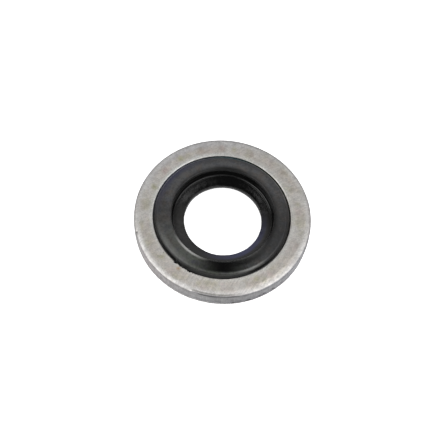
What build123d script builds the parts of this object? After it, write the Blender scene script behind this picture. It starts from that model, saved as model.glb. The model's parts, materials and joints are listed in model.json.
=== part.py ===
"""Self-centring bonded sealing washer: a blanked steel ring with a rubber seal moulded into its bore.

The rubber stands above both faces of the steel as a flat-topped lip, and a thin fin runs in from
its middle to grip a screw's thread. All sizes are in millimetres. Z is the washer's axis, and the
origin is the centre of the hole, halfway through the thickness.
"""
from build123d import *
import os

# Rubber seal, from the screw outwards
fin_bore = 4.9
fin_width = 0.67
fin_root_thickness = 0.42
fin_edge_thickness = 0.3
fin_edge_radius = 0.06
throat_radius = 0.08
inner_slope_width = 0.08
land_width = 0.85
land_inner_radius = 0.1
land_outer_radius = 0.08
outer_slope_width = 0.23
lip_height = 0.25

# Steel ring
ring_width = 1.22
ring_thickness = 1.15
bore_bevel_width = 0.04
roll_width = 0.45
roll_depth = 0.15
sheared_height = 0.5
torn_taper_width = 0.04
lower_edge_radius = 0.04

# Radii shared by the two pieces, each counted from the one inside it
fin_inner = fin_bore / 2
throat = fin_inner + fin_width
land_inner = throat + inner_slope_width
land_outer = land_inner + land_width
bond_radius = land_outer + outer_slope_width
ring_outer = bond_radius + ring_width

# Heights above the middle of the thickness
fin_root_top = fin_root_thickness / 2
fin_edge_top = fin_edge_thickness / 2
face_top = ring_thickness / 2
bond_top = face_top - bore_bevel_width
land_top = face_top + lip_height
roll_foot = face_top - roll_depth
sheared_foot = roll_foot - sheared_height


def corner(section, radius, height):
    """The corner of a section that stands at a radius and a height."""
    return section.vertices().sort_by_distance((radius, height))[0]


# Steel ring: rolled upper edge, then a sheared band and a slightly drawn-in torn band on the rim
with BuildPart() as steel_washer:
    with BuildSketch(Plane.XZ) as ring_section:
        with BuildLine():
            EllipticalCenterArc(
                (ring_outer - roll_width, roll_foot),
                roll_width,
                roll_depth,
                start_angle=0,
                arc_size=90,
            )
            Polyline(
                (ring_outer, roll_foot),
                (ring_outer, sheared_foot),
                (ring_outer - torn_taper_width, -face_top),
                (bond_radius, -face_top),
                (bond_radius, face_top),
                (ring_outer - roll_width, face_top),
            )
        make_face()
        chamfer(corner(ring_section, bond_radius, face_top), length=bore_bevel_width)
        chamfer(corner(ring_section, bond_radius, -face_top), length=bore_bevel_width)
        fillet(
            corner(ring_section, ring_outer - torn_taper_width, -face_top),
            radius=lower_edge_radius,
        )
    revolve(axis=Axis.Z)
steel_washer.part.label = "steel_washer"


# Rubber seal: the half above the middle is drawn and mirrored, as one moulding with its fin
with BuildPart() as rubber_seal:
    with BuildSketch(Plane.XZ) as seal_section:
        with BuildLine():
            Polyline(
                (fin_inner, 0),
                (fin_inner, fin_edge_top),
                (throat, fin_root_top),
                (land_inner, land_top),
                (land_outer, land_top),
                (bond_radius, bond_top),
                (bond_radius, 0),
                close=True,
            )
        make_face()
        fillet(corner(seal_section, fin_inner, fin_edge_top), radius=fin_edge_radius)
        fillet(corner(seal_section, throat, fin_root_top), radius=throat_radius)
        fillet(corner(seal_section, land_inner, land_top), radius=land_inner_radius)
        fillet(corner(seal_section, land_outer, land_top), radius=land_outer_radius)
        mirror(about=Plane.XZ)
    revolve(axis=Axis.Z)
rubber_seal.part.label = "rubber_seal"


os.makedirs("parts", exist_ok=True)
export_step(steel_washer.part, "parts/steel_washer.step")
export_step(rubber_seal.part, "parts/rubber_seal.step")
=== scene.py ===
"""Self-centring bonded sealing washer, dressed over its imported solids.

A blanked and plated steel ring with a black rubber seal moulded into its bore, lying on a pale
floor. Lengths are in metres, or in millimetres where a comment says so. Z is the washer's axis
and the origin is the middle of its hole. Bearings are in degrees about Z, from +X towards +Y.
"""
import json
import math
from collections import namedtuple

import bpy
from bpy.props import FloatProperty, FloatVectorProperty, IntProperty, PointerProperty
from mathutils import Euler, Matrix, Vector


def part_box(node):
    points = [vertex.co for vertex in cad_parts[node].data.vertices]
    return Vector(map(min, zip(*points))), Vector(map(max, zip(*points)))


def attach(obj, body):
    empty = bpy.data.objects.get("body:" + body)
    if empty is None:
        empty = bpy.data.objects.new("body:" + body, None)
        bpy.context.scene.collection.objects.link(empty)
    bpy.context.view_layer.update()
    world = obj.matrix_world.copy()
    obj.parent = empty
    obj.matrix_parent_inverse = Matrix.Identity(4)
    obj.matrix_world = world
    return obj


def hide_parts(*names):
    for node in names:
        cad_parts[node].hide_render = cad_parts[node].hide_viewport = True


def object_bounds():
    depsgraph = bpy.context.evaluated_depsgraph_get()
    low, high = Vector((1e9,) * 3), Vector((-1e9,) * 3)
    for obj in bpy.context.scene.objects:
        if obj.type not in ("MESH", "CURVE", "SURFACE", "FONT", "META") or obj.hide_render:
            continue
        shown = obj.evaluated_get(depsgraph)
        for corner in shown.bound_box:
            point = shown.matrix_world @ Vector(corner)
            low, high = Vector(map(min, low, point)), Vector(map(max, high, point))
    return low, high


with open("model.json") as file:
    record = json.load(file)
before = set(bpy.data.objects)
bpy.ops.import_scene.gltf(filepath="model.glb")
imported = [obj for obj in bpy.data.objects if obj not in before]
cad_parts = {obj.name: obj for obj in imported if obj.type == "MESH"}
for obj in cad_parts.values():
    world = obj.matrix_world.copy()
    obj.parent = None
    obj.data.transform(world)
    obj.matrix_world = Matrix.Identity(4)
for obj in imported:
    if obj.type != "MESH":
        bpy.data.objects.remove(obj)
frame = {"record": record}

bl_info = {
    "name": "Bonded Sealing Washer",
    "version": (1, 0, 0),
    "blender": (4, 5, 0),
    "location": "View3D > Sidebar > Washer",
    "description": "Models a steel ring with a rubber seal bonded into its bore",
    "category": "Add Mesh",
}

MM = 0.001
PER_MM = 1000.0
CAD_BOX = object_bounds()
RING_LOW, RING_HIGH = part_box("steel_washer")
SEAL_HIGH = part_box("rubber_seal")[1]
MOUNTS = {mount["name"]: mount for mount in frame["record"]["mounts"]}
LIP_MIDDLE = MOUNTS["upper_lip_face"]["pos_m"][0]
FIN_INNER = MOUNTS["screw_hole"]["dims"]["r_mm"] * MM
RIM_MM = RING_HIGH.x * PER_MM
FACE_MM = RING_HIGH.z * PER_MM

# How finely the sections are drawn: the gap under which two points are one, the longest edges,
# the steps of the roll and of rounded corners, the bevel's rounding as a share of its width, and
# the angle in degrees up to which faces are shaded as one
TOUCHING = 0.001 * MM
STEEL_EDGE = 0.08 * MM
RUBBER_EDGE = 0.12 * MM
ROLL_STEPS = 24
CORNER_STEPS = 8
BEVEL_STEPS = 4
BEVEL_ROUNDING = 0.75
SMOOTH_ANGLE = 25

# How high the grain of each finish stands
STEEL_RELIEF = 0.004 * MM
RUBBER_RELIEF = 0.0015 * MM

# The camera, fitted to the ellipses of the photograph: its height and roll in degrees, distance in
# metres, lens and sensor in millimetres, and the picture's width and shift in pixels
CAMERA_ELEVATION = 62.72
CAMERA_ROLL = 6.27
CAMERA_DISTANCE = 20 * RING_HIGH.x
CAMERA_LENS = 143.15
SENSOR_WIDTH = 36.0
IMAGE_WIDTH = 444
IMAGE_SHIFT = (-0.3, -1.45)

# The stage: the floor's width, how much it glows and how much more where the camera sees it, the
# room's dim colour, and the white that the camera sees
FLOOR_WIDTH = 4.0
FLOOR_GLOW = 0.25
FLOOR_SEEN_GLOW = 0.7
ROOM_COLOUR = (0.08, 0.08, 0.082)
WHITE = (1.0, 1.0, 1.0)

# Soft boxes: the direction from the washer, size across and up, and brightness
Softbox = namedtuple("Softbox", "name direction across up brightness")
SOFTBOXES = (
    Softbox("left_softbox", (-0.61, -0.13, 0.78), 0.3, 0.34, 2.35),
    Softbox("right_softbox", (0.55, -0.12, 0.82), 0.36, 0.34, 1.8),
    Softbox("far_softbox", (0.0, 0.73, 0.68), 0.6, 0.18, 0.9),
    Softbox("near_backdrop", (0.0, -0.94, 0.34), 0.7, 0.24, 0.8),
)
SOFTBOX_DISTANCE = 0.38

# Stains on the steel: millimetres from the axis, bearing, reach in millimetres, tint by its
# property's name, strength, and millimetres above the middle where not on the upper face
Stain = namedtuple("Stain", "radius bearing reach tint strength height", defaults=(FACE_MM,))
STAINS = (
    Stain(4.54, -121, 0.2, "rust", 0.75),
    Stain(4.72, -137, 0.26, "olive", 0.55),
    Stain(4.7, 161, 0.34, "olive", 0.8),
    Stain(4.8, 145, 0.34, "rose", 0.8),
    Stain(4.8, 129, 0.36, "olive", 0.7),
    Stain(4.85, 112, 0.36, "umber", 0.35),
    Stain(4.85, 96, 0.3, "rose", 0.55),
    Stain(4.8, 87, 0.3, "olive", 0.45),
    Stain(4.78, 73, 0.26, "umber", 0.35),
    Stain(4.91, 46, 0.38, "umber", 0.35),
    Stain(4.87, 37, 0.32, "umber", 0.25),
    Stain(4.75, 30, 0.3, "umber", 0.2),
    Stain(4.77, 17, 0.24, "olive", 0.4),
    Stain(5.04, -9, 0.3, "soot", 0.15),
    Stain(4.95, -17, 0.26, "umber", 0.32),
    Stain(4.84, -48, 0.3, "rose", 0.5),
    Stain(4.66, -58, 0.28, "olive", 0.5),
    Stain(4.85, -102, 0.28, "olive", 0.4),
    Stain(4.47, -139, 0.05, "soot", 0.6),
    Stain(4.88, -139, 0.06, "soot", 0.5),
    Stain(5.28, -123, 0.07, "soot", 0.6, 0.5),
    Stain(5.45, -162, 0.09, "soot", 0.7, 0.45),
    Stain(RIM_MM, -43, 0.16, "soot", 0.7, -0.08),
    Stain(RIM_MM, -49.7, 0.2, "soot", 1.0, -0.18),
    Stain(RIM_MM, -56.5, 0.22, "soot", 0.9, -0.18),
    Stain(RIM_MM, -59.5, 0.24, "soot", 0.8, -0.26),
    Stain(RIM_MM, -67.3, 0.24, "soot", 1.0, -0.38),
    Stain(RIM_MM, -78, 0.15, "soot", 0.6, 0.08),
    Stain(RIM_MM, -77.2, 0.2, "soot", 0.8, -0.4),
)

# Dents in the rim's upper edge and side: millimetres from the axis, bearing, and height above the
# middle, reach and depth in millimetres
Dent = namedtuple("Dent", "radius bearing height reach depth")
DENTS = (
    Dent(5.42, -162, 0.47, 0.12, 0.05),
    Dent(5.28, -123, 0.5, 0.08, 0.012),
    Dent(RIM_MM, -49.7, -0.18, 0.16, 0.04),
    Dent(RIM_MM, -57, -0.18, 0.16, 0.05),
    Dent(RIM_MM, -60, -0.26, 0.2, 0.04),
    Dent(5.49, -67.3, -0.38, 0.2, 0.05),
    Dent(RIM_MM, -78, 0.05, 0.12, 0.03),
)

# Bearings where the rolled edge starts to be crisp, is crisp, starts to round off and is round,
# and the bearing and spread of the stretch where it is broad and of the squeezed-out rubber
CRISP_EDGE = (-107, -102, -84, -66)
BROAD_ROLL = (-50, 52)
FLASH_SIDE = (-118, 24)

# Sides of the washer that wear, bloom or light set apart: bearing, and spread to either side
SIDES = {
    "cool_edge": (118, 75),
    "pale_bore": (130, 95),
    "near_half": (-75, 110),
    "near_steel": (-85, 75),
    "far_steel": (75, 80),
    "left_roll": (-140, 60),
    "dull_rim": (-42, 50),
    "near_rim": (-78, 56),
    "left_rim": (-152, 32),
    "purple_rim": (-140, 50),
    "blue_rim": (-35, 60),
    "dark_line": (-94, 9),
    "thin_line": (-85, 15),
    "smear": (-117, 18),
    "near_lip": (-84, 42),
    "right_lip": (-14, 66),
    "far_lip": (85, 105),
    "left_lip": (-178, 30),
    "even_lip": (-150, 75),
    "green_lip": (-105, 90),
    "far_corner": (88, 30),
    "bare_slope": (-112, 75),
    "crescent": (-58, 38),
    "right_fin": (-8, 52),
    "left_fin": (185, 48),
    "blue_fin": (-50, 75),
    "teal_slope": (88, 32),
    "navy_slope": (145, 50),
}

# Patches in the two finishes: size in millimetres, seed, and the noise where one starts and is full
PATCHES = {
    "warm_plating": (1.1, 3, 0.38, 0.62),
    "green_plating": (0.8, 11, 0.5, 0.72),
    "pink_plating": (0.7, 23, 0.5, 0.72),
    "steel_blotch": (0.32, 5, 0.3, 0.7),
    "steel_grain": (0.09, 7, 0.3, 0.7),
    "bloom_patches": (0.45, 2, 0.25, 0.75),
    "bloom_specks": (0.11, 4, 0.3, 0.7),
    "brown_bloom": (0.5, 31, 0.45, 0.65),
    "blue_bloom": (0.4, 37, 0.45, 0.65),
    "green_bloom": (0.35, 41, 0.35, 0.55),
    "rubber_grain": (0.05, 1, 0.3, 0.7),
    "rubber_ripple": (0.3, 9, 0.2, 0.8),
}

# Blooms of colour on the plating and on the lip: the patches, strength, and tint by its
# property's name. Casts of colour on the rim: the side, strength and tint
PLATING_BLOOMS = (
    ("warm_plating", 0.5, "steel_warm"),
    ("green_plating", 0.35, "olive"),
    ("pink_plating", 0.3, "rose"),
)
LIP_BLOOMS = (("brown_bloom", 0.6, "brown_bloom"), ("blue_bloom", 0.45, "blue_bloom"))
RIM_CASTS = (("purple_rim", 0.25, "rose"), ("blue_rim", 0.6, "steel_cool"))

# Pale lines on the lip's corners, partly scuffs and partly painted highlights, and painted light caught in
# the throat: the line that each is counted from, millimetres out from it, width in millimetres, bearing,
# spread and strength
Scuff = namedtuple("Scuff", "line out width bearing spread strength")
SCUFFS_AND_HIGHLIGHTS = (
    Scuff("land_inner", 0.08, 0.14, -125, 28, 1.0),
    Scuff("land_inner", 0.02, 0.16, -48, 30, 0.12),
    Scuff("land_outer", -0.1, 0.26, -136, 34, 0.16),
    Scuff("land_outer", -0.04, 0.11, -58, 20, 0.4),
    Scuff("throat", -0.13, 0.05, 38, 36, 0.17),
    Scuff("throat", -0.13, 0.05, 135, 36, 0.07),
)

# Painted coloured sheens on the rubber: the side, the line that each is counted from, the millimetres out
# from it where it starts and is full, strength, and tint by its property's name
Sheen = namedtuple("Sheen", "side line empty full strength tint")
SHEENS = (
    Sheen("blue_fin", "throat", -0.25, -0.45, 0.9, "blue_sheen"),
    Sheen("teal_slope", "land_outer", -0.1, 0.05, 0.8, "teal_sheen"),
    Sheen("navy_slope", "land_outer", -0.35, 0.05, 0.8, "navy_sheen"),
)

# Radii and heights of the section's corners
Lines = namedtuple(
    "Lines", "rim bore bevel_outer face roll_foot torn_foot lip_top land_inner land_outer throat"
)


def length(name, description, size):
    """A length that a user can change, with its default in millimetres."""
    return FloatProperty(name=name, description=description, default=size * MM, unit="LENGTH", precision=5)


def colour(name, description, default):
    """A colour that a user can change."""
    return FloatVectorProperty(
        name=name, description=description, default=default, subtype="COLOR", size=3, min=0.0, max=1.0
    )


class WasherSizes(bpy.types.PropertyGroup):
    """Sizes of the washer's section and of its unevenness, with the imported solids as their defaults"""

    around: IntProperty(name="Steps around", description="Faces in each turned ring", default=760)
    fin_edge_radius: length("Fin edge", "Rounding of the fin's inner edge", 0.06)
    fin_width: length("Fin width", "Fin from its edge to the lip's foot", 0.67)
    fin_root_thickness: length("Fin root", "Fin's thickness where it meets the lip", 0.42)
    fin_edge_thickness: length("Fin edge thickness", "Fin's thickness at its inner edge", 0.3)
    throat_radius: length("Throat", "Rounding where the fin meets the lip", 0.08)
    land_width: length("Land width", "Flat top of the lip", 0.85)
    land_inner_radius: length("Land inner corner", "Rounding of the lip's inner corner", 0.1)
    land_outer_radius: length("Land outer corner", "Rounding of the lip's outer corner", 0.08)
    bevel_width: length("Bore bevel", "Bevel around the steel's bore", 0.04)
    roll_width: length("Roll width", "Rolled outer edge, in from the rim", 0.45)
    roll_depth: length("Roll depth", "Rolled outer edge, down from the face", 0.15)
    sheared_height: length("Sheared band", "Smooth upper band of the rim", 0.5)
    torn_taper_width: length("Torn taper", "How far the rim draws in below the band", 0.04)
    lower_edge_radius: length("Lower edge", "Rounding of the rim's lower edge", 0.04)
    bore_shift: length("Bore shift", "How far the steel's bore stands off centre along X", -0.055)
    fin_shift_x: length("Fin shift X", "How far the fin's edge stands off centre along X", 0.03)
    fin_shift_y: length("Fin shift Y", "How far the fin's edge stands off centre along Y", -0.015)
    fin_reach: length("Fin reach", "How far the fin's soft edge reaches in past its size", 0.04)
    land_fall: length("Land fall", "How far the lip's top falls away towards the steel", 0.07)
    fin_sag: length("Fin sag", "How far the fin's edge hangs below the middle", 0.05)
    fin_waviness: length("Fin waviness", "Unevenness of the fin's edge", 0.04)
    flash_height: length("Flash", "Rubber squeezed out over the bore's bevel", 0.08)
    flash_lift: length("Flash lift", "How far the squeezed rubber stands up", 0.04)
    torn_roughness: length("Torn roughness", "Roughness of the rim's torn band", 0.03)
    roll_unevenness: length("Roll unevenness", "Waviness of the rolled edge", 0.012)
    broad_drop: length("Broad roll", "How far the rolled edge is lower where it is broad", 0.03)
    crisp_rise: length("Crisp edge", "How far the rolled edge stands up where it is crisp", 0.14)


class WasherColours(bpy.types.PropertyGroup):
    """Colours of the washer's two materials, their stains and the stage"""

    steel: colour("Steel", "Plated steel", (0.66, 0.64, 0.61))
    steel_warm: colour("Warm steel", "Brownish bloom on the plating", (0.6, 0.545, 0.485))
    steel_cool: colour("Cool steel", "Bluish bloom on the plating", (0.57, 0.57, 0.61))
    clean_steel: colour("Clean steel", "Rubbed steel of the rolled edge", (0.66, 0.65, 0.64))
    torn_steel: colour("Torn steel", "Bare metal of the rim's torn band", (0.5, 0.5, 0.52))
    # Painted highlight: paler steel beside the bore, strongest on the far left
    worn_steel: colour("Worn steel", "Pale steel beside the bore", (0.76, 0.77, 0.74))
    rust: colour("Rust", "Rust speck", (0.42, 0.26, 0.12))
    olive: colour("Olive", "Greenish bloom on the plating", (0.42, 0.41, 0.25))
    umber: colour("Umber", "Brown bloom on the plating", (0.33, 0.25, 0.19))
    rose: colour("Rose", "Pinkish bloom on the plating", (0.52, 0.42, 0.4))
    # Dark colour of marks in dents, pits and specks, and of the painted shadow under the crisp edge
    soot: colour("Soot", "Dirt in dents and pits", (0.06, 0.055, 0.055))
    rubber: colour("Rubber", "Black rubber", (0.0012, 0.0012, 0.0012))
    bloom: colour("Bloom", "Grey bloom on the rubber", (0.073, 0.073, 0.073))
    brown_bloom: colour("Brown bloom", "Brownish bloom on the rubber", (0.082, 0.067, 0.058))
    blue_bloom: colour("Blue bloom", "Bluish bloom on the rubber", (0.06, 0.066, 0.082))
    olive_bloom: colour("Olive bloom", "Greenish bloom on the rubber", (0.073, 0.08, 0.067))
    # Dust and painted glow on the fin's left and right sides, paler towards the hole
    fin_dust: colour("Fin dust", "Dust on the sides of the rubber's fin", (0.03, 0.029, 0.028))
    # Scuffs and painted highlights on the lip's corners, and painted light in the throat
    scuff: colour("Scuff", "Scuffed corners of the rubber", (0.42, 0.42, 0.41))
    # Painted sheens: bluish on the fin beside the hole, dark blue and teal on the lip's outer side
    blue_sheen: colour("Blue sheen", "Bluish wax on the rubber's fin", (0.03, 0.033, 0.085))
    navy_sheen: colour("Navy sheen", "Dark blue wax on the lip's outer side", (0.024, 0.026, 0.06))
    teal_sheen: colour("Teal sheen", "Teal wax on the lip's outer side", (0.02, 0.05, 0.06))
    floor: colour("Floor", "Pale floor", (0.8, 0.8, 0.8))


def section_lines(sizes):
    """Radii and heights of the section's corners, in metres."""
    roll_foot = RING_HIGH.z - sizes.roll_depth
    return Lines(
        rim=RING_HIGH.x,
        bore=SEAL_HIGH.x,
        bevel_outer=SEAL_HIGH.x + sizes.bevel_width,
        face=RING_HIGH.z,
        roll_foot=roll_foot,
        torn_foot=roll_foot - sizes.sheared_height,
        lip_top=SEAL_HIGH.z,
        land_inner=LIP_MIDDLE - sizes.land_width / 2,
        land_outer=LIP_MIDDLE + sizes.land_width / 2,
        throat=FIN_INNER + sizes.fin_width,
    )


def clear_selection():
    """Deselects every object."""
    bpy.ops.object.select_all(action="DESELECT")


def start_outline(name, radius, height):
    """Begins a section as one point beside the axis, in edit mode."""
    clear_selection()
    bpy.ops.mesh.primitive_plane_add(size=MM)
    piece = bpy.context.object
    piece.name = name
    piece.data.name = name
    bpy.ops.object.mode_set(mode="EDIT")
    bpy.ops.mesh.merge(type="CENTER")
    bpy.ops.transform.translate(value=(radius, 0.0, height))
    return piece


def draw_outline(corners):
    """Extrudes the section's point from corner to corner, back to the first."""
    for here, there in zip(corners, corners[1:] + corners[:1]):
        step = (there[0] - here[0], 0.0, there[1] - here[1])
        bpy.ops.mesh.extrude_vertices_move(TRANSFORM_OT_translate={"value": step})
    bpy.ops.mesh.select_all(action="SELECT")
    bpy.ops.mesh.remove_doubles(threshold=TOUCHING)
    bpy.ops.mesh.edge_face_add()


def round_corner(piece, radius, height, rounding, segments=CORNER_STEPS):
    """Rounds one corner of the section."""
    corner = Vector((radius, 0.0, height))
    bpy.ops.mesh.select_all(action="DESELECT")
    bpy.ops.object.mode_set(mode="OBJECT")
    for vertex in piece.data.vertices:
        vertex.select = (vertex.co - corner).length < 2 * TOUCHING
    bpy.ops.object.mode_set(mode="EDIT")
    bpy.ops.mesh.bevel(offset=rounding, offset_type="OFFSET", segments=segments, affect="VERTICES")


def divide_longest(piece, longest):
    """Divides the section's edges until none is longer than a given length."""
    bpy.ops.mesh.select_all(action="SELECT")
    bpy.ops.mesh.delete(type="ONLY_FACE")
    while True:
        bpy.ops.mesh.select_all(action="DESELECT")
        bpy.ops.mesh.select_mode(type="EDGE")
        bpy.ops.object.mode_set(mode="OBJECT")
        points = piece.data.vertices
        long_edges = 0
        for edge in piece.data.edges:
            first, second = edge.vertices
            edge.select = (points[first].co - points[second].co).length > longest
            long_edges += edge.select
        bpy.ops.object.mode_set(mode="EDIT")
        if not long_edges:
            break
        bpy.ops.mesh.subdivide(number_cuts=1)
    bpy.ops.mesh.select_mode(type="VERT")


def turn_outline(piece, steps):
    """Turns the section about the axis into a closed ring."""
    bpy.ops.object.mode_set(mode="OBJECT")
    turn = piece.modifiers.new("turn", "SCREW")
    turn.axis = "Z"
    turn.angle = 2 * math.pi
    turn.steps = steps
    turn.render_steps = steps
    turn.use_merge_vertices = True
    turn.merge_threshold = TOUCHING
    turn.use_normal_calculate = True
    bpy.ops.object.modifier_apply(modifier=turn.name)
    bpy.ops.object.shade_smooth_by_angle(angle=math.radians(SMOOTH_ANGLE))


def radius_of(place):
    """How far a point of a mesh is from the axis."""
    return math.hypot(place.x, place.y)


def smooth_share(value, empty, full):
    """Rises smoothly from 0 at one value to 1 at another."""
    share = min(max((value - empty) / (full - empty), 0.0), 1.0)
    return share * share * (3 - 2 * share)


def past(value, line, empty, full):
    """Rises smoothly from 0 to 1 between two distances from a line, given in millimetres."""
    return smooth_share(value, line + empty * MM, line + full * MM)


def bearing_share(place, bearing, spread):
    """Falls smoothly from 1 at a bearing to 0 at a spread to either side of it."""
    offset = math.degrees(math.atan2(place.y, place.x)) - bearing
    offset = abs((offset + 180) % 360 - 180)
    return smooth_share(offset, spread, 0.0)


def shifts_with_bore(place):
    """Is 1 about the joint of steel and rubber and 0 at the lip's crest and the rolled edge."""
    radius = radius_of(place)
    from_lip = smooth_share(radius, LIP_MIDDLE, SEAL_HIGH.x - 0.1 * MM)
    return from_lip * smooth_share(radius, RING_HIGH.x - 0.5 * MM, SEAL_HIGH.x + 0.1 * MM)


def push(piece, name, share, amount, direction="NORMAL", grain=None):
    """Moves points along a direction by an amount times their share, uneven if a grain is given."""
    group = piece.vertex_groups.new(name=name)
    for vertex in piece.data.vertices:
        weight = share(vertex.co)
        if weight > 0.001:
            group.add([vertex.index], weight, "REPLACE")
    move = piece.modifiers.new(name, "DISPLACE")
    move.vertex_group = name
    move.direction = direction
    move.strength = amount
    move.mid_level = 0.0
    if grain:
        texture = bpy.data.textures.new(name, "CLOUDS")
        texture.noise_scale = grain
        texture.noise_depth = 3
        move.texture = texture
        move.texture_coords = "LOCAL"
        move.mid_level = 0.5
    bpy.ops.object.modifier_apply(modifier=move.name)
    piece.vertex_groups.remove(piece.vertex_groups[name])


def feed(tree, value, socket):
    """Links an output to an input, or sets the input to a number, vector or colour."""
    if isinstance(value, bpy.types.NodeSocket):
        tree.links.new(value, socket)
    elif hasattr(value, "__len__") and len(value) < len(socket.default_value):
        socket.default_value = (*value, 1.0)
    else:
        socket.default_value = value


def maths(tree, operation, *values):
    """A Math node, given outputs or numbers, as its output."""
    node = tree.nodes.new("ShaderNodeMath")
    node.operation = operation
    for value, socket in zip(values, node.inputs):
        feed(tree, value, socket)
    return node.outputs[0]


def times(tree, *values):
    """The product of two or more outputs or numbers."""
    product, *others = values
    for other in others:
        product = maths(tree, "MULTIPLY", product, other)
    return product


def varied(tree, value, where, change):
    """A value scaled by one plus a change where a mask is full."""
    return times(tree, value, maths(tree, "MULTIPLY_ADD", where, change, 1.0))


def vector_maths(tree, operation, *values, output="Vector"):
    """A Vector Math node, given outputs or vectors, as one of its outputs."""
    node = tree.nodes.new("ShaderNodeVectorMath")
    node.operation = operation
    for value, socket in zip(values, node.inputs):
        feed(tree, value, socket)
    return node.outputs[output]


def remap(tree, value, low, high, new_low=0.0, new_high=1.0):
    """A smooth step between two values, as a Map Range node's output."""
    node = tree.nodes.new("ShaderNodeMapRange")
    node.interpolation_type = "SMOOTHSTEP"
    names = ("Value", "From Min", "From Max", "To Min", "To Max")
    for name, amount in zip(names, (value, low, high, new_low, new_high)):
        feed(tree, amount, node.inputs[name])
    return node.outputs["Result"]


def tint(tree, share, first, second, blend="MIX"):
    """A Mix node between two colours, as its colour output."""
    node = tree.nodes.new("ShaderNodeMix")
    node.data_type = "RGBA"
    node.blend_type = blend
    colour_inputs = [socket for socket in node.inputs if socket.type == "RGBA"]
    feed(tree, share, node.inputs["Factor"])
    feed(tree, first, colour_inputs[0])
    feed(tree, second, colour_inputs[1])
    return [socket for socket in node.outputs if socket.type == "RGBA"][0]


def noise(tree, vector, scale, detail=3.0):
    """A Noise Texture node's value."""
    node = tree.nodes.new("ShaderNodeTexNoise")
    feed(tree, vector, node.inputs["Vector"])
    feed(tree, scale, node.inputs["Scale"])
    node.inputs["Detail"].default_value = detail
    node.inputs["Roughness"].default_value = 0.55
    return node.outputs[0]


def place_in_mm(tree):
    """The Object coordinates, in millimetres."""
    coordinates = tree.nodes.new("ShaderNodeTexCoord")
    return vector_maths(tree, "MULTIPLY", coordinates.outputs["Object"], (PER_MM, PER_MM, PER_MM))


def parts_of(tree, vector):
    """A vector's three parts."""
    node = tree.nodes.new("ShaderNodeSeparateXYZ")
    tree.links.new(vector, node.inputs[0])
    return node.outputs[0], node.outputs[1], node.outputs[2]


def vector_of(tree, x, y, z):
    """A vector made of three outputs or numbers."""
    node = tree.nodes.new("ShaderNodeCombineXYZ")
    for value, socket in zip((x, y, z), node.inputs):
        feed(tree, value, socket)
    return node.outputs[0]


def distance_from_axis(tree, place):
    """How far a place is from the washer's axis."""
    x, y, _ = parts_of(tree, place)
    squares = maths(tree, "ADD", times(tree, x, x), times(tree, y, y))
    return maths(tree, "SQRT", squares)


def build_ring_place(tree, place, given):
    """Distance from the axis and height above the middle, in millimetres."""
    return {"Radius": distance_from_axis(tree, place), "Height": parts_of(tree, place)[2]}


def build_mottle(tree, place, given):
    """Soft patches of a given size."""
    shifted = vector_maths(tree, "ADD", place, vector_of(tree, given["Seed"], given["Seed"], given["Seed"]))
    soft = noise(tree, shifted, maths(tree, "DIVIDE", 1.0, given["Size"]))
    return {"Mask": remap(tree, soft, given["Empty"], given["Full"])}


def build_streaks(tree, place, given):
    """Long thin streaks that run along a bearing."""
    turned = tree.nodes.new("ShaderNodeVectorRotate")
    turned.rotation_type = "Z_AXIS"
    tree.links.new(place, turned.inputs["Vector"])
    back = times(tree, maths(tree, "RADIANS", given["Bearing"]), -1.0)
    tree.links.new(back, turned.inputs["Angle"])
    along, across, height = parts_of(tree, turned.outputs[0])
    drawn = vector_of(
        tree,
        maths(tree, "DIVIDE", along, given["Length"]),
        maths(tree, "DIVIDE", across, given["Width"]),
        maths(tree, "DIVIDE", height, given["Width"]),
    )
    return {"Mask": noise(tree, drawn, 1.0, detail=2.0)}


def build_rim_lines(tree, place, given):
    """Streaks on the rim, drawn out through its thickness."""
    radius = distance_from_axis(tree, place)
    x, y, height = parts_of(tree, place)
    width = times(tree, radius, given["Width"])
    drawn = vector_of(
        tree,
        times(tree, maths(tree, "DIVIDE", x, width), RIM_MM),
        times(tree, maths(tree, "DIVIDE", y, width), RIM_MM),
        maths(tree, "DIVIDE", height, given["Length"]),
    )
    return {"Mask": noise(tree, drawn, 1.0)}


def build_bearing(tree, place, given):
    """Falls from 1 at a bearing to 0 at a spread to either side, at any height."""
    radius = distance_from_axis(tree, place)
    x, y, _ = parts_of(tree, place)
    angle = maths(tree, "RADIANS", given["Bearing"])
    along_x = times(tree, x, maths(tree, "COSINE", angle))
    along_y = times(tree, y, maths(tree, "SINE", angle))
    turned = maths(tree, "DIVIDE", maths(tree, "ADD", along_x, along_y), radius)
    # Just short of the far side, where rounding could carry it past what the arccosine takes
    turned = maths(tree, "MAXIMUM", turned, -0.9999)
    offset = maths(tree, "DEGREES", maths(tree, "ARCCOSINE", turned))
    return {"Mask": remap(tree, offset, given["Spread"], 0.0)}


def build_band(tree, place, given):
    """A ragged ring around the axis."""
    radius = distance_from_axis(tree, place)
    offset = maths(tree, "ABSOLUTE", maths(tree, "SUBTRACT", radius, given["Radius"]))
    grain = maths(tree, "SUBTRACT", noise(tree, place, maths(tree, "DIVIDE", 1.0, given["Grain"])), 0.5)
    ragged = maths(tree, "MULTIPLY_ADD", grain, given["Ragged"], offset)
    return {"Mask": remap(tree, ragged, given["Width"], 0.0)}


def build_spot(tree, place, given):
    """A ragged spot about a place."""
    centre = vector_of(tree, given["X"], given["Y"], given["Z"])
    gap = vector_maths(tree, "DISTANCE", place, centre, output="Value")
    grain = maths(tree, "SUBTRACT", noise(tree, place, maths(tree, "DIVIDE", 1.4, given["Reach"])), 0.5)
    ragged = maths(tree, "MULTIPLY_ADD", grain, given["Reach"], gap)
    return {"Mask": remap(tree, ragged, given["Reach"], 0.0)}


# Node groups that the materials share: their inputs, their outputs and what builds them
GROUPS = {
    "ring_place": ("", "Radius Height", build_ring_place),
    "mottle": ("Size Seed Empty Full", "Mask", build_mottle),
    "streaks": ("Bearing Length Width", "Mask", build_streaks),
    "rim_lines": ("Length Width", "Mask", build_rim_lines),
    "bearing": ("Bearing Spread", "Mask", build_bearing),
    "band": ("Radius Width Ragged Grain", "Mask", build_band),
    "spot": ("X Y Z Reach", "Mask", build_spot),
}


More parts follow.
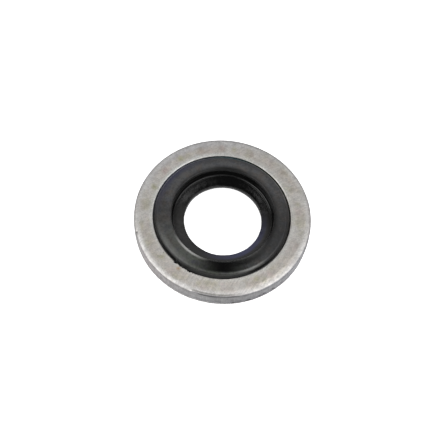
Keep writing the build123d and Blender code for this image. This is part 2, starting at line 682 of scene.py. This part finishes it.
def shared_group(name):
    """A node group with its named inputs and outputs, made when it is first used."""
    if name in bpy.data.node_groups:
        return bpy.data.node_groups[name]
    inputs, outputs, build = GROUPS[name]
    tree = bpy.data.node_groups.new(name, "ShaderNodeTree")
    for way, labels in (("INPUT", inputs), ("OUTPUT", outputs)):
        for label in labels.split():
            tree.interface.new_socket(name=label, in_out=way, socket_type="NodeSocketFloat")
    entry = tree.nodes.new("NodeGroupInput")
    leave = tree.nodes.new("NodeGroupOutput")
    for label, value in build(tree, place_in_mm(tree), entry.outputs).items():
        tree.links.new(value, leave.inputs[label])
    return tree


def use_group(tree, name, **given):
    """Places a shared group in a material and returns its outputs."""
    node = tree.nodes.new("ShaderNodeGroup")
    node.node_tree = shared_group(name)
    for label, value in given.items():
        feed(tree, value, node.inputs[label])
    return node.outputs


def mask(tree, name, **given):
    """Places a shared group in a material and returns its mask."""
    return use_group(tree, name, **given)["Mask"]


def towards(tree, name):
    """Is 1 on one side of the washer and falls to 0 past its spread."""
    bearing, spread = SIDES[name]
    return mask(tree, "bearing", Bearing=bearing, Spread=spread)


def patches(tree, name):
    """Soft patches of one of the finishes."""
    size, seed, empty, full = PATCHES[name]
    return mask(tree, "mottle", Size=size, Seed=seed, Empty=empty, Full=full)


def new_material(name):
    """An empty material, with its node tree and shader."""
    material = bpy.data.materials.new(name)
    material.use_nodes = True
    tree = material.node_tree
    return material, tree, tree.nodes["Principled BSDF"]


# What the functions that build one finish share, with the section's lines in millimetres
Surface = namedtuple("Surface", "material tree shader radius height lines colours")

# Masks of the steel: the grain of its face, and the parts of its rim
Grain = namedtuple("Grain", "blotch fine drawn")
Rim = namedtuple("Rim", "side drawn torn")


def new_surface(name, colours, sizes):
    """An empty material of one of the washer's pieces."""
    material, tree, shader = new_material(name)
    place = use_group(tree, "ring_place")
    lines = Lines(*(line * PER_MM for line in section_lines(sizes)))
    return Surface(material, tree, shader, place["Radius"], place["Height"], lines, colours)


def laid_over(surface, shade, paint, *masks):
    """A shade with one of the colours laid over it where the product of some masks is full."""
    return tint(surface.tree, times(surface.tree, *masks), shade, getattr(surface.colours, paint))


def add_bump(surface, height, distance):
    """Feeds a height into the shader's normal."""
    bump = surface.tree.nodes.new("ShaderNodeBump")
    bump.inputs["Distance"].default_value = distance
    feed(surface.tree, height, bump.inputs["Height"])
    surface.tree.links.new(bump.outputs["Normal"], surface.shader.inputs["Normal"])


def add_blooms(surface, shade, blooms):
    """Lays patches of colour over a shade."""
    for name, strength, paint in blooms:
        shade = laid_over(surface, shade, paint, patches(surface.tree, name), strength)
    return shade


def plating(surface):
    """The plating's colour: its blooms, a cool far edge, the rubbed roll and a painted highlight on the
    steel by the bore.
    """
    tree, radius, lines = surface.tree, surface.radius, surface.lines
    shade = add_blooms(surface, surface.colours.steel, PLATING_BLOOMS)
    outward = remap(tree, radius, lines.rim - 0.75, lines.rim - 0.2)
    shade = laid_over(surface, shade, "steel_cool", towards(tree, "cool_edge"), outward, 0.8)
    rubbed = remap(tree, radius, lines.rim - 0.45, lines.rim - 0.2)
    shade = laid_over(surface, shade, "clean_steel", rubbed, 0.7)
    # Painted highlight beside the bore, strongest on the far left side
    beside_bore = remap(tree, radius, lines.bore + 0.36, lines.bore + 0.1)
    paleness = maths(tree, "MULTIPLY_ADD", towards(tree, "pale_bore"), 0.6, 0.35)
    return laid_over(surface, shade, "worn_steel", beside_bore, paleness)


def face_grain(tree):
    """Blotches, fine grain and drawn streaks, which run more steeply on the near half."""
    shallow = mask(tree, "streaks", Bearing=36.0, Length=0.9, Width=0.07)
    steep = mask(tree, "streaks", Bearing=66.0, Length=0.9, Width=0.09)
    drawn = remap(tree, towards(tree, "near_half"), 0.35, 0.65, shallow, steep)
    return Grain(patches(tree, "steel_blotch"), patches(tree, "steel_grain"), drawn)


def face_brightness(surface, grain):
    """How bright the steel is, in its grain, and with painted shading from side to side."""
    tree, radius, rim = surface.tree, surface.radius, surface.lines.rim
    level = maths(tree, "MULTIPLY_ADD", grain.blotch, 0.2, 0.845)
    level = times(tree, level, maths(tree, "MULTIPLY_ADD", grain.fine, 0.2, 0.92))
    level = times(tree, level, remap(tree, grain.drawn, 0.32, 0.68, 0.95, 1.09))
    # Painted shading: lighter on the near side, a little darker on the far side, and darker on the left roll
    # to dim its highlight
    level = varied(tree, level, towards(tree, "near_steel"), 0.15)
    level = varied(tree, level, towards(tree, "far_steel"), -0.06)
    on_roll = remap(tree, radius, rim - 0.35, rim - 0.15)
    off_rim = remap(tree, radius, rim - 0.01, rim - 0.05)
    return varied(tree, level, times(tree, towards(tree, "left_roll"), on_roll, off_rim), -0.11)


def rim_parts(surface):
    """The rim's side, the lines drawn down it, and its torn band below a ragged line."""
    tree, lines = surface.tree, surface.lines
    # On the near right the rim's darker side reaches in over the roll's outer edge: painted shade that ends
    # the highlight sooner
    dull = towards(tree, "dull_rim")
    starts = remap(tree, dull, 0.0, 0.6, lines.rim - 0.06, lines.rim - 0.12)
    full = remap(tree, dull, 0.0, 0.6, lines.rim - 0.005, lines.rim - 0.035)
    side = remap(tree, surface.radius, starts, full)
    drawn = mask(tree, "rim_lines", Length=0.9, Width=0.05)
    wide = mask(tree, "rim_lines", Length=0.5, Width=0.3)
    ragged = maths(tree, "MULTIPLY_ADD", wide, 0.3, surface.height)
    torn = times(tree, side, remap(tree, ragged, lines.torn_foot + 0.2, lines.torn_foot + 0.1))
    return Rim(side, drawn, torn)


def rim_brightness(surface, rim):
    """How bright the rim is: along its lines, with painted shading from side to side, a painted shadow under
    the roll, and darker at its foot.
    """
    tree, height, lines = surface.tree, surface.height, surface.lines
    level = maths(tree, "MULTIPLY_ADD", rim.drawn, 0.6, 0.42)
    # Painted shading: darker on the near side and lighter on the left
    level = varied(tree, level, towards(tree, "near_rim"), -0.32)
    level = varied(tree, level, towards(tree, "left_rim"), 0.16)
    # Painted shadow just under the roll, left out on the near right where the roll's edge is already shaded
    under_roll = remap(tree, height, lines.roll_foot - 0.2, lines.roll_foot - 0.06)
    shadow = maths(tree, "MULTIPLY_ADD", towards(tree, "dull_rim"), -0.08, 0.08)
    level = varied(tree, level, times(tree, rim.side, under_roll, shadow), -1.0)
    foot = remap(tree, height, 0.2 - lines.face, 0.06 - lines.face)
    return varied(tree, level, foot, -0.25)


def dark_line(surface, rim):
    """The painted shadow line under the crisp stretch of the edge, thinner to its right."""
    tree = surface.tree
    from_line = maths(tree, "SUBTRACT", surface.height, surface.lines.roll_foot + 0.08)
    on_line = remap(tree, maths(tree, "ABSOLUTE", from_line), 0.08, 0.05)
    dark = remap(tree, towards(tree, "dark_line"), 0.0, 0.4)
    thin = remap(tree, towards(tree, "thin_line"), 0.0, 0.4)
    stretch = maths(tree, "MAXIMUM", dark, times(tree, thin, 0.65))
    broken = remap(tree, rim.drawn, 0.35, 0.5, 0.75, 1.0)
    return times(tree, stretch, on_line, broken, rim.side)


def rim_colour(surface, rim, shade):
    """Bare metal on the rim, its casts of colour, and the painted shadow line."""
    tree = surface.tree
    bare = maths(tree, "MULTIPLY_ADD", rim.torn, 0.3, times(tree, rim.side, 0.6))
    shade = laid_over(surface, shade, "torn_steel", bare)
    for name, strength, cast in RIM_CASTS:
        shade = laid_over(surface, shade, cast, rim.side, towards(tree, name), strength)
    # Painted shadow under the crisp edge, in the same dark colour as the marks in dents and pits
    return laid_over(surface, shade, "soot", dark_line(surface, rim), 0.8)


def add_stains(surface, shade):
    """Spots of rust and bloom on the steel, and dark marks in its dents, pits and specks."""
    for stain in STAINS:
        angle = math.radians(stain.bearing)
        spot = mask(
            surface.tree,
            "spot",
            X=stain.radius * math.cos(angle),
            Y=stain.radius * math.sin(angle),
            Z=stain.height,
            Reach=stain.reach,
        )
        shade = laid_over(surface, shade, stain.tint, spot, stain.strength)
    return shade


def add_smear(surface, shade):
    """A thin ragged film of rubber on the steel beside its bore."""
    tree = surface.tree
    film = mask(tree, "band", Radius=surface.lines.bore + 0.02, Width=0.12, Ragged=0.4, Grain=0.13)
    where = remap(tree, towards(tree, "smear"), 0.1, 0.5)
    return laid_over(surface, shade, "rubber", where, remap(tree, film, 0.22, 0.5))


def plated_steel(colours, sizes):
    """Blanked and plated steel: bloom, grain, stains, a bright bore bevel and a torn rim."""
    surface = new_surface("plated_steel", colours, sizes)
    tree, shader, lines = surface.tree, surface.shader, surface.lines
    shader.inputs["Metallic"].default_value = 1.0
    grain = face_grain(tree)
    rim = rim_parts(surface)
    shade = rim_colour(surface, rim, plating(surface))
    shade = add_smear(surface, add_stains(surface, shade))
    level = face_brightness(surface, grain)
    level = times(tree, level, remap(tree, rim.side, 0.0, 1.0, 1.0, rim_brightness(surface, rim)))
    shade = tint(tree, 1.0, shade, vector_of(tree, level, level, level), blend="MULTIPLY")
    tree.links.new(shade, shader.inputs["Base Color"])

    # Satin face, brighter bevel, rough torn band
    bevel = remap(tree, surface.radius, lines.bevel_outer + 0.03, lines.bevel_outer)
    finish = remap(tree, grain.blotch, 0.0, 1.0, 0.5, 0.43)
    finish = maths(tree, "MULTIPLY_ADD", rim.torn, 0.15, finish)
    finish = maths(tree, "MULTIPLY_ADD", bevel, -0.08, finish)
    tree.links.new(finish, shader.inputs["Roughness"])

    relief = maths(tree, "MULTIPLY_ADD", grain.fine, 0.5, times(tree, grain.drawn, 0.5))
    relief = maths(tree, "MULTIPLY_ADD", times(tree, rim.drawn, rim.side), 2.0, relief)
    add_bump(surface, relief, STEEL_RELIEF)
    return surface.material


def lip_bloom(surface, on_land):
    """Grey bloom on the lip, thinned from side to side as painted shading: even on the left, soft towards
    the hole elsewhere, thin on the right, left and far out, and taken off at the near side and the lower
    left slope, with a painted dark crescent on the near right."""
    tree, radius = surface.tree, surface.radius
    inner, outer = surface.lines.land_inner, surface.lines.land_outer
    starts = remap(tree, towards(tree, "far_corner"), 0.0, 1.0, inner - 0.06, inner + 0.08)
    full = remap(tree, towards(tree, "even_lip"), 0.0, 0.6, inner + 0.38, inner + 0.1)
    share = remap(tree, radius, starts, full)
    # Painted shading: the bloom is thinned or taken off by side, where the light on the land differs
    share = varied(tree, share, towards(tree, "right_lip"), -0.66)
    outward = remap(tree, radius, inner + 0.4, inner + 0.75)
    share = varied(tree, share, times(tree, towards(tree, "far_lip"), outward), -0.42)
    off_edge = remap(tree, radius, outer, outer - 0.2)
    share = varied(tree, share, times(tree, towards(tree, "near_lip"), off_edge), -1.0)
    on_slope = remap(tree, radius, outer - 0.06, outer + 0.06)
    share = varied(tree, share, times(tree, towards(tree, "bare_slope"), on_slope), -0.75)
    share = varied(tree, share, towards(tree, "left_lip"), -0.4)
    share = times(tree, share, maths(tree, "MULTIPLY_ADD", patches(tree, "bloom_patches"), 0.42, 0.74))
    share = times(tree, share, maths(tree, "MULTIPLY_ADD", patches(tree, "bloom_specks"), 0.5, 0.72))
    # Painted dark crescent inside the lip's inner corner on the near right, where the bloom is taken off
    crescent = mask(tree, "band", Radius=inner + 0.31, Width=0.24, Ragged=0.1, Grain=0.2)
    share = varied(tree, share, times(tree, crescent, towards(tree, "crescent")), -0.95)
    return times(tree, share, on_land)


def bloom_colour(surface):
    """The bloom's colour: grey, with brownish and bluish patches, and greenish on the near side."""
    tree = surface.tree
    dust = add_blooms(surface, surface.colours.bloom, LIP_BLOOMS)
    return laid_over(surface, dust, "olive_bloom", patches(tree, "green_bloom"), towards(tree, "green_lip"))


def add_scuffs_and_highlights(surface, shade):
    """Scuffs and painted highlights on the lip's corners, and painted light caught in the throat."""
    tree = surface.tree
    for scuff in SCUFFS_AND_HIGHLIGHTS:
        middle = getattr(surface.lines, scuff.line) + scuff.out
        ring = mask(tree, "band", Radius=middle, Width=scuff.width, Ragged=0.08, Grain=0.12)
        side = mask(tree, "bearing", Bearing=scuff.bearing, Spread=scuff.spread)
        shade = laid_over(surface, shade, "scuff", ring, side, scuff.strength)
    return shade


def add_fin_dust_and_glow(surface, shade):
    """Dust and painted glow on the left and right of the fin, paler towards the hole and fading out at the
    throat.
    """
    tree, radius, throat = surface.tree, surface.radius, surface.lines.throat
    sides = maths(tree, "ADD", towards(tree, "right_fin"), towards(tree, "left_fin"))
    thickness = maths(tree, "MULTIPLY_ADD", remap(tree, radius, throat - 0.02, throat - 0.5), 0.6, 0.4)
    inward = remap(tree, radius, throat + 0.02, throat - 0.05)
    return laid_over(surface, shade, "fin_dust", sides, thickness, inward)


def add_sheens(surface, shade):
    """Painted coloured sheens on the fin and on the lip's outer side."""
    for sheen in SHEENS:
        line = getattr(surface.lines, sheen.line)
        reached = remap(surface.tree, surface.radius, line + sheen.empty, line + sheen.full)
        side = towards(surface.tree, sheen.side)
        shade = laid_over(surface, shade, sheen.tint, side, reached, sheen.strength)
    return shade


def black_rubber(colours, sizes):
    """Moulded black rubber: bloom on the lip with painted shading, scuffed corners with painted highlights,
    and a painted bluish sheen beside the hole.
    """
    surface = new_surface("black_rubber", colours, sizes)
    tree, shader, radius, lines = surface.tree, surface.shader, surface.radius, surface.lines
    shader.inputs["Specular IOR Level"].default_value = 0.4
    on_land = remap(tree, surface.height, lines.lip_top - 0.24, lines.lip_top - 0.12)
    shade = tint(tree, lip_bloom(surface, on_land), colours.rubber, bloom_colour(surface))
    shade = add_sheens(surface, add_fin_dust_and_glow(surface, add_scuffs_and_highlights(surface, shade)))
    tree.links.new(shade, shader.inputs["Base Color"])

    # Dull lip and inner corner, glossier at the near side and on the fin
    dull = varied(tree, on_land, towards(tree, "near_lip"), -1.0)
    dull = times(tree, dull, remap(tree, radius, lines.land_inner - 0.05, lines.land_inner + 0.3, 0.45, 1.0))
    corner = times(tree, on_land, remap(tree, radius, lines.land_inner + 0.16, lines.land_inner + 0.04))
    finish = remap(tree, maths(tree, "MAXIMUM", dull, corner), 0.0, 1.0, 0.14, 0.36)
    tree.links.new(finish, shader.inputs["Roughness"])

    relief = maths(tree, "MULTIPLY_ADD", patches(tree, "rubber_ripple"), 2.0, patches(tree, "rubber_grain"))
    add_bump(surface, relief, RUBBER_RELIEF)
    return surface.material


def finish_piece(piece, node, material):
    """Gives a piece its material and puts it in its solid's place."""
    piece.data.materials.append(material)
    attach(piece, "root")
    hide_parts(node)


class WASHER_OT_steel_ring(bpy.types.Operator):
    """Turn the steel ring with its rolled edge, sheared band and torn band"""

    bl_idname = "washer.steel_ring"
    bl_label = "Steel ring"

    def execute(self, context):
        sizes = context.scene.washer_sizes
        lines = section_lines(sizes)
        bottom = RING_LOW.z
        roll = []
        for step in range(ROLL_STEPS + 1):
            angle = math.pi / 2 * step / ROLL_STEPS
            across = lines.rim - sizes.roll_width * (1 - math.sin(angle))
            roll.append((across, lines.roll_foot + sizes.roll_depth * math.cos(angle)))
        drawn_in = lines.rim - sizes.torn_taper_width
        corners = [
            (lines.bore, lines.face - sizes.bevel_width),
            (lines.bevel_outer, lines.face),
            *roll,
            (lines.rim, lines.torn_foot),
            (drawn_in, bottom),
            (lines.bevel_outer, bottom),
            (lines.bore, bottom + sizes.bevel_width),
        ]
        piece = start_outline("steel_ring", *corners[0])
        draw_outline(corners)
        round_corner(piece, drawn_in, bottom, sizes.lower_edge_radius)
        for height in (lines.face, bottom):
            rounding = BEVEL_ROUNDING * sizes.bevel_width
            round_corner(piece, lines.bevel_outer, height, rounding, segments=BEVEL_STEPS)
        divide_longest(piece, STEEL_EDGE)
        turn_outline(piece, sizes.around)
        self.make_uneven(piece, sizes)
        finish_piece(piece, "steel_washer", plated_steel(context.scene.washer_colours, sizes))
        return {"FINISHED"}

    def make_uneven(self, piece, sizes):
        """Roughens the torn band, waves the roll and presses in the dents."""
        lines = section_lines(sizes)
        roll_start = lines.rim - sizes.roll_width
        deepest = max(dent.depth for dent in DENTS)

        def on_torn_band(place):
            across = past(radius_of(place), lines.rim, -0.12, -0.05)
            return across * past(place.z, lines.torn_foot, 0.08, -0.05)

        def on_roll(place):
            return past(radius_of(place), roll_start, -0.15, 0.1) * past(place.z, lines.face, -0.3, -0.1)

        def on_broad_roll(place):
            across = past(radius_of(place), roll_start, -0.08, 0.2)
            return across * bearing_share(place, *BROAD_ROLL) * past(place.z, lines.face, -0.3, -0.1)

        def on_crisp_edge(place):
            bearing = math.degrees(math.atan2(place.y, place.x))
            begins, crisp, leaves, ends = CRISP_EDGE
            along = smooth_share(bearing, begins, crisp) * smooth_share(bearing, ends, leaves)
            across = past(radius_of(place), lines.rim, -0.2, -0.02)
            return across * along * past(place.z, lines.face, -0.35, -0.15)

        def in_dents(place):
            share = 0.0
            for dent in DENTS:
                angle = math.radians(dent.bearing)
                x, y = dent.radius * math.cos(angle), dent.radius * math.sin(angle)
                gap = (place * PER_MM - Vector((x, y, dent.height))).length / dent.reach
                if gap < 1:
                    share += dent.depth * smooth_share(gap, 1.0, 0.0)
            return min(share / deepest, 1.0)

        push(piece, "bore", shifts_with_bore, sizes.bore_shift, direction="X")
        push(piece, "torn_band", on_torn_band, sizes.torn_roughness, grain=0.09 * MM)
        push(piece, "roll", on_roll, sizes.roll_unevenness, grain=0.9 * MM)
        push(piece, "broad_roll", on_broad_roll, -sizes.broad_drop, direction="Z")
        push(piece, "crisp_edge", on_crisp_edge, sizes.crisp_rise, direction="Z")
        push(piece, "dents", in_dents, -deepest * MM)


class WASHER_OT_rubber_seal(bpy.types.Operator):
    """Turn the rubber seal with its lip above each face and its inner fin"""

    bl_idname = "washer.rubber_seal"
    bl_label = "Rubber seal"

    def execute(self, context):
        sizes = context.scene.washer_sizes
        lines = section_lines(sizes)
        upper = [
            (FIN_INNER - sizes.fin_reach, sizes.fin_edge_thickness / 2),
            (lines.throat, sizes.fin_root_thickness / 2),
            (lines.land_inner, lines.lip_top),
            (lines.land_outer, lines.lip_top),
            (lines.bore, lines.face - sizes.bevel_width),
        ]
        corners = upper + [(radius, -height) for radius, height in reversed(upper)]
        piece = start_outline("moulded_seal", *corners[0])
        draw_outline(corners)
        roundings = (
            sizes.fin_edge_radius,
            sizes.throat_radius,
            sizes.land_inner_radius,
            sizes.land_outer_radius,
        )
        for (radius, height), rounding in zip(upper, roundings):
            round_corner(piece, radius, height, rounding)
            round_corner(piece, radius, -height, rounding)
        divide_longest(piece, RUBBER_EDGE)
        turn_outline(piece, sizes.around)
        self.make_uneven(piece, sizes)
        finish_piece(piece, "rubber_seal", black_rubber(context.scene.washer_colours, sizes))
        return {"FINISHED"}

    def make_uneven(self, piece, sizes):
        """Moves the fin's edge off centre, lets it sag and squeezes out the flash."""
        lines = section_lines(sizes)

        def towards_edge(place):
            return smooth_share(radius_of(place), lines.throat - 0.05 * MM, FIN_INNER)

        def down_the_land(place):
            across = (radius_of(place) - lines.land_inner) / (lines.land_outer - lines.land_inner)
            above_steel = smooth_share(place.z, lines.face - 2 * sizes.bevel_width, lines.face)
            return min(max(across, 0.0), 1.0) * above_steel

        def on_flash(place):
            across = smooth_share(radius_of(place), lines.land_outer + 0.08 * MM, lines.bore - 0.04 * MM)
            above = smooth_share(place.z, lines.face - 3 * sizes.bevel_width, lines.face - sizes.bevel_width)
            return across * above * bearing_share(place, *FLASH_SIDE)

        push(piece, "bore", shifts_with_bore, sizes.bore_shift, direction="X")
        push(piece, "land", down_the_land, -sizes.land_fall, direction="Z")
        push(piece, "fin_x", towards_edge, sizes.fin_shift_x, direction="X")
        push(piece, "fin_y", towards_edge, sizes.fin_shift_y, direction="Y")
        push(piece, "fin_z", towards_edge, -sizes.fin_sag, direction="Z")
        push(piece, "fin_wave", towards_edge, sizes.fin_waviness, grain=0.8 * MM)
        push(piece, "flash_lift", on_flash, sizes.flash_lift, direction="Z")
        push(piece, "flash", on_flash, sizes.flash_height, grain=0.35 * MM)


class WASHER_OT_stage(bpy.types.Operator):
    """Set the pale floor, the soft lights and the camera"""

    bl_idname = "washer.stage"
    bl_label = "Stage"

    def execute(self, context):
        self.add_floor(context.scene)
        self.add_lights(context.scene)
        self.add_camera(context.scene)
        context.scene.view_settings.view_transform = "Standard"
        return {"FINISHED"}

    def add_floor(self, scene):
        """A pale floor that the camera sees as white."""
        clear_selection()
        bpy.ops.mesh.primitive_plane_add(size=FLOOR_WIDTH)
        floor = bpy.context.object
        floor.name = "floor"
        floor.location.z = CAD_BOX[0].z
        material, tree, shader = new_material("pale_floor")
        shader.inputs["Base Color"].default_value = (*scene.washer_colours.floor, 1.0)
        shader.inputs["Roughness"].default_value = 0.9
        shader.inputs["Specular IOR Level"].default_value = 0.0
        shader.inputs["Emission Color"].default_value = (*WHITE, 1.0)
        seen = tree.nodes.new("ShaderNodeLightPath").outputs["Is Camera Ray"]
        glow = maths(tree, "MULTIPLY_ADD", seen, FLOOR_SEEN_GLOW, FLOOR_GLOW)
        tree.links.new(glow, shader.inputs["Emission Strength"])
        floor.data.materials.append(material)

    def add_lights(self, scene):
        """A dim room with soft boxes over it."""
        world = bpy.data.worlds.new("studio")
        scene.world = world
        world.use_nodes = True
        tree = world.node_tree
        seen = tree.nodes.new("ShaderNodeLightPath").outputs["Is Camera Ray"]
        room = tree.nodes["Background"]
        tree.links.new(tint(tree, seen, ROOM_COLOUR, WHITE), room.inputs["Color"])
        for box in SOFTBOXES:
            direction = Vector(box.direction).normalized()
            bpy.ops.object.light_add(type="AREA", location=direction * SOFTBOX_DISTANCE)
            light = bpy.context.object
            light.name = box.name
            light.data.shape = "RECTANGLE"
            light.data.size = box.across
            light.data.size_y = box.up
            light.data.energy = box.brightness * math.pi * box.across * box.up
            light.rotation_euler = direction.to_track_quat("Z", "Y").to_euler()

    def add_camera(self, scene):
        """The camera, at the photograph's height, tilt and framing."""
        elevation = math.radians(CAMERA_ELEVATION)
        place = Vector((0.0, -math.cos(elevation), math.sin(elevation))) * CAMERA_DISTANCE
        bpy.ops.object.camera_add(location=place)
        camera = bpy.context.object
        tilt = Euler((math.pi / 2 - elevation, 0.0, 0.0)).to_matrix()
        roll = Euler((0.0, 0.0, math.radians(CAMERA_ROLL))).to_matrix()
        camera.rotation_euler = (tilt @ roll).to_euler()
        camera.data.lens = CAMERA_LENS
        camera.data.sensor_width = SENSOR_WIDTH
        camera.data.clip_start = 0.005
        camera.data.shift_x, camera.data.shift_y = (shift / IMAGE_WIDTH for shift in IMAGE_SHIFT)
        scene.camera = camera


class WASHER_PT_panel(bpy.types.Panel):
    """Lists the washer's sizes, colours and pieces"""

    bl_idname = "WASHER_PT_panel"
    bl_label = "Bonded sealing washer"
    bl_space_type = "VIEW_3D"
    bl_region_type = "UI"
    bl_category = "Washer"

    def draw(self, context):
        layout = self.layout
        for group in (context.scene.washer_sizes, context.scene.washer_colours):
            for name in group.bl_rna.properties.keys():
                if name not in ("rna_type", "name"):
                    layout.prop(group, name)
        for operator in PIECES:
            layout.operator(operator.bl_idname)


PIECES = (WASHER_OT_steel_ring, WASHER_OT_rubber_seal, WASHER_OT_stage)
CLASSES = (WasherSizes, WasherColours, *PIECES, WASHER_PT_panel)


def register():
    for kind in CLASSES:
        bpy.utils.register_class(kind)
    bpy.types.Scene.washer_sizes = PointerProperty(type=WasherSizes)
    bpy.types.Scene.washer_colours = PointerProperty(type=WasherColours)


def unregister():
    del bpy.types.Scene.washer_colours
    del bpy.types.Scene.washer_sizes
    for kind in reversed(CLASSES):
        bpy.utils.unregister_class(kind)


def main():
    """Registers the add-on and makes every piece in order."""
    register()
    bpy.ops.washer.steel_ring()
    bpy.ops.washer.rubber_seal()
    bpy.ops.washer.stage()


if __name__ == "__main__":
    main()
